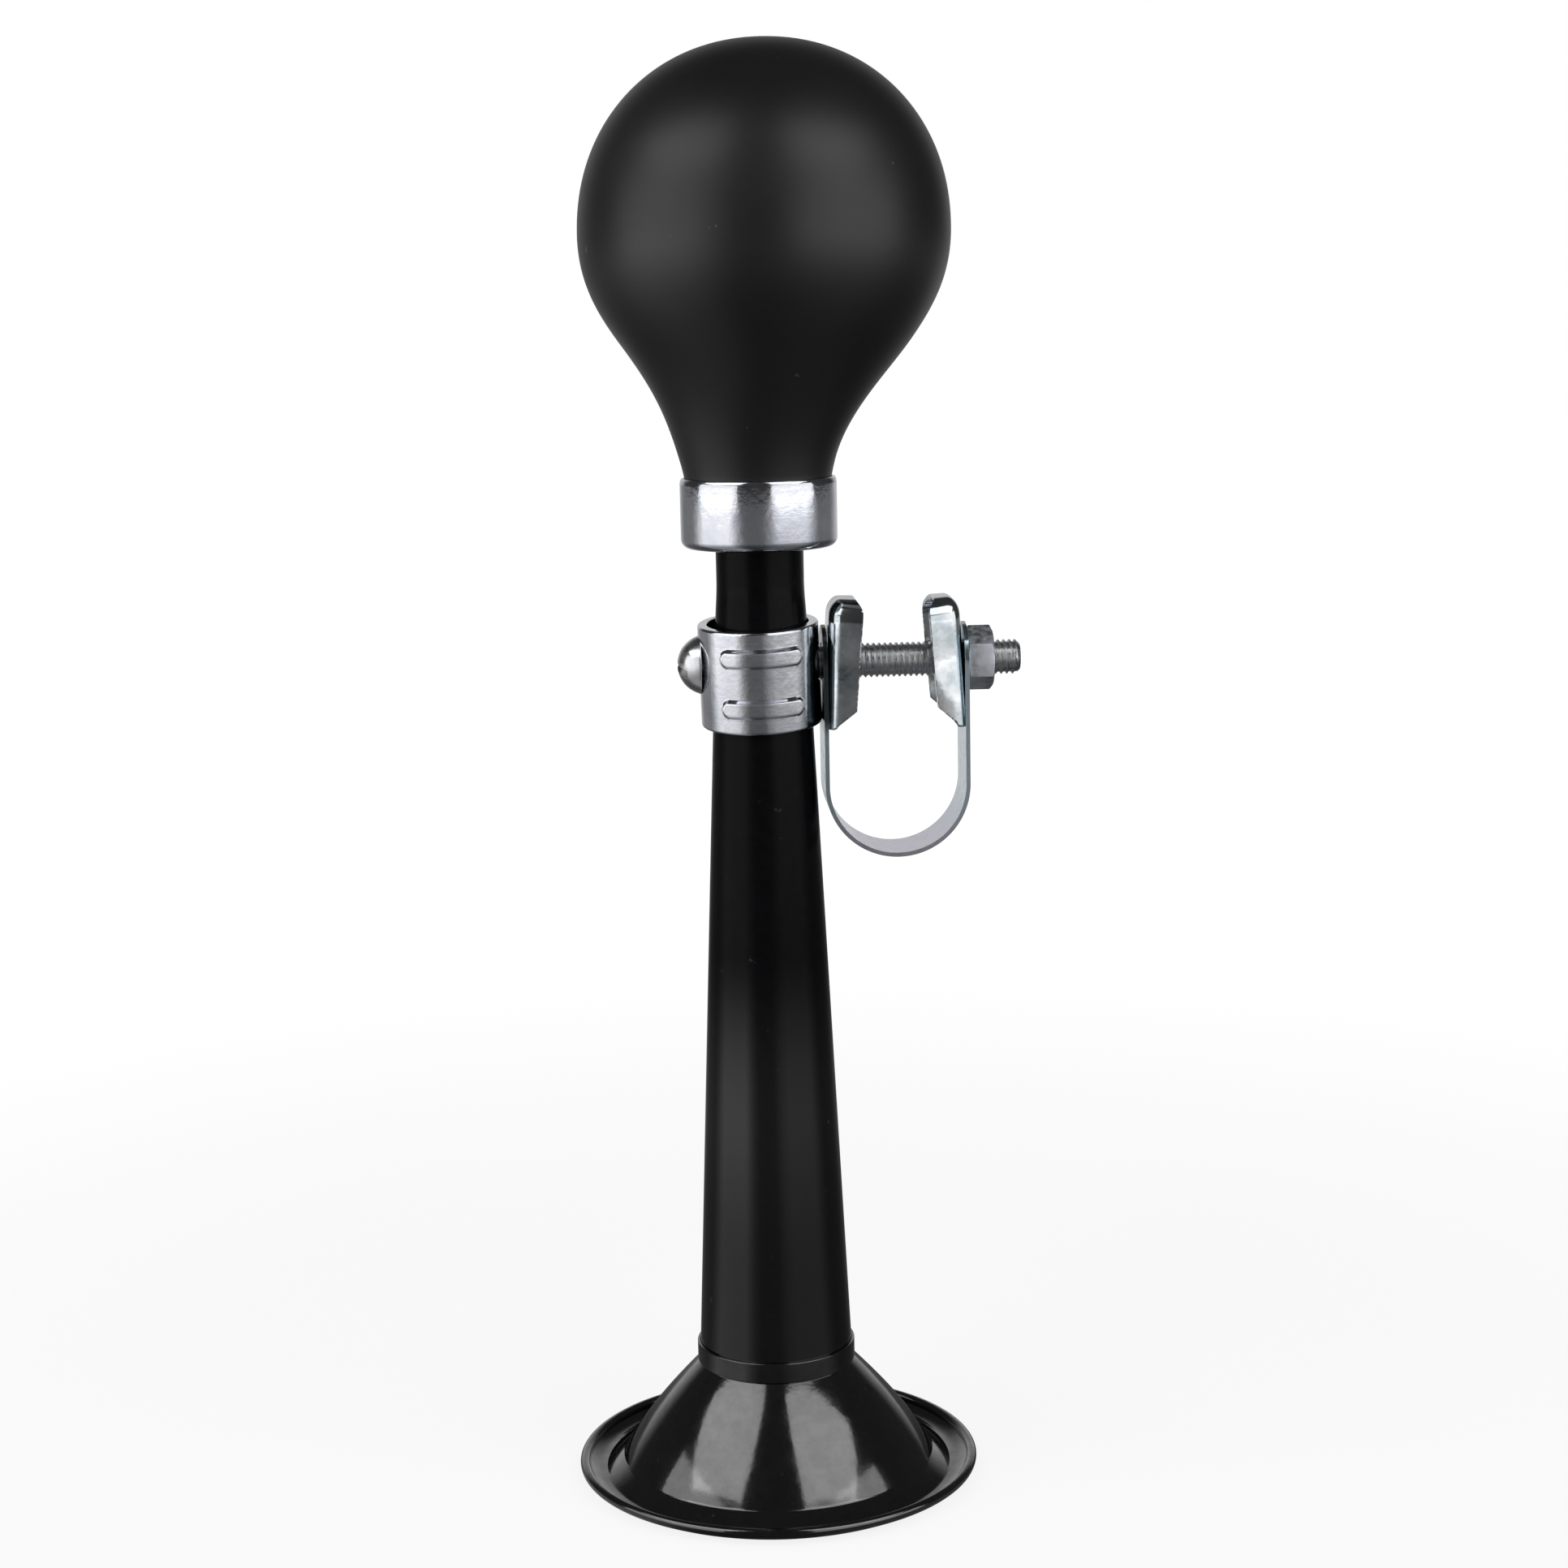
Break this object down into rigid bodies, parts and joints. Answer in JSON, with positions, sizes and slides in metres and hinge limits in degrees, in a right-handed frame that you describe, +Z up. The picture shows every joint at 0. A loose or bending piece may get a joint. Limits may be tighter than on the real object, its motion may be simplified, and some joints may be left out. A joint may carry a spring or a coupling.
{
  "type": "bulb_horn",
  "caption": "Bicycle bulb horn: rubber squeeze bulb on a tapered black tube with a flared bell, held by a bright collar, a slotted bolt and a strap clamp for a handlebar.",
  "frame": {"origin": "centre of the bell's mouth, in the plane of the flat ring that the bell stands on", "axes": "+Z up the horn's axis from the bell's mouth to the bulb, +X along the clamp bolt from its slotted head to the nut, +Y along the handlebar"},
  "size_m": [0.0655, 0.0582, 0.2046],
  "materials": {
    "black_enamel": "gloss",
    "bulb_rubber": "matte",
    "chrome_plate": "polished",
    "plated_steel": "satin",
    "reed_brass": "satin"
  },
  "bodies": {
    "horn": {"bell": "black_enamel", "horn_tube": "black_enamel", "bulb_ferrule": "chrome_plate", "reed_holder": "reed_brass", "reed_trough": "reed_brass", "reed_wedge": "reed_brass", "tube_collar": "chrome_plate"},
    "squeeze_bulb": {"bulb": "bulb_rubber"},
    "tongue": {"reed_tongue": "reed_brass"},
    "bolt": {"clamp_bolt": "plated_steel"},
    "clamp": {"inner_jaw": "chrome_plate", "handlebar_strap": "plated_steel"},
    "jaw": {"outer_jaw": "chrome_plate"},
    "nut": {"clamp_nut": "plated_steel"}
  },
  "joints": [
    {"name": "bulb_squeeze", "type": "slide", "parent": "horn", "child": "squeeze_bulb", "axis": [0, 0, -1], "range_m": [0, 0.009], "stiffness_N_per_m": 900, "deforming": ["bulb"]},
    {"name": "reed_beat", "type": "hinge", "parent": "horn", "child": "tongue", "pos_m": [0, -0.00016, 0.1438], "axis": [1, 0, 0], "range_deg": [-1.5, 2.5], "stiffness_Nm_per_rad": 0.005, "deforming": ["reed_tongue"]},
    {"name": "bolt_turn", "type": "hinge", "parent": "horn", "child": "bolt", "pos_m": [0, 0, 0.119], "axis": [1, 0, 0], "continuous": true},
    {"name": "clamp_swivel", "type": "hinge", "parent": "horn", "child": "clamp", "pos_m": [0, 0, 0.119], "axis": [1, 0, 0], "range_deg": [-130, 130]},
    {"name": "jaw_slide", "type": "slide", "parent": "clamp", "child": "jaw", "axis": [1, 0, 0], "range_m": [-0.004, 0.0028], "deforming": ["handlebar_strap"]},
    {"name": "nut_spin", "type": "hinge", "parent": "jaw", "child": "nut", "pos_m": [0, 0, 0.119], "axis": [1, 0, 0], "range_deg": [-1810, 1270]}
  ],
  "couplings": [
    {"joint": "nut_spin", "follows": "jaw_slide", "rad_per_m": 7854}
  ]
}
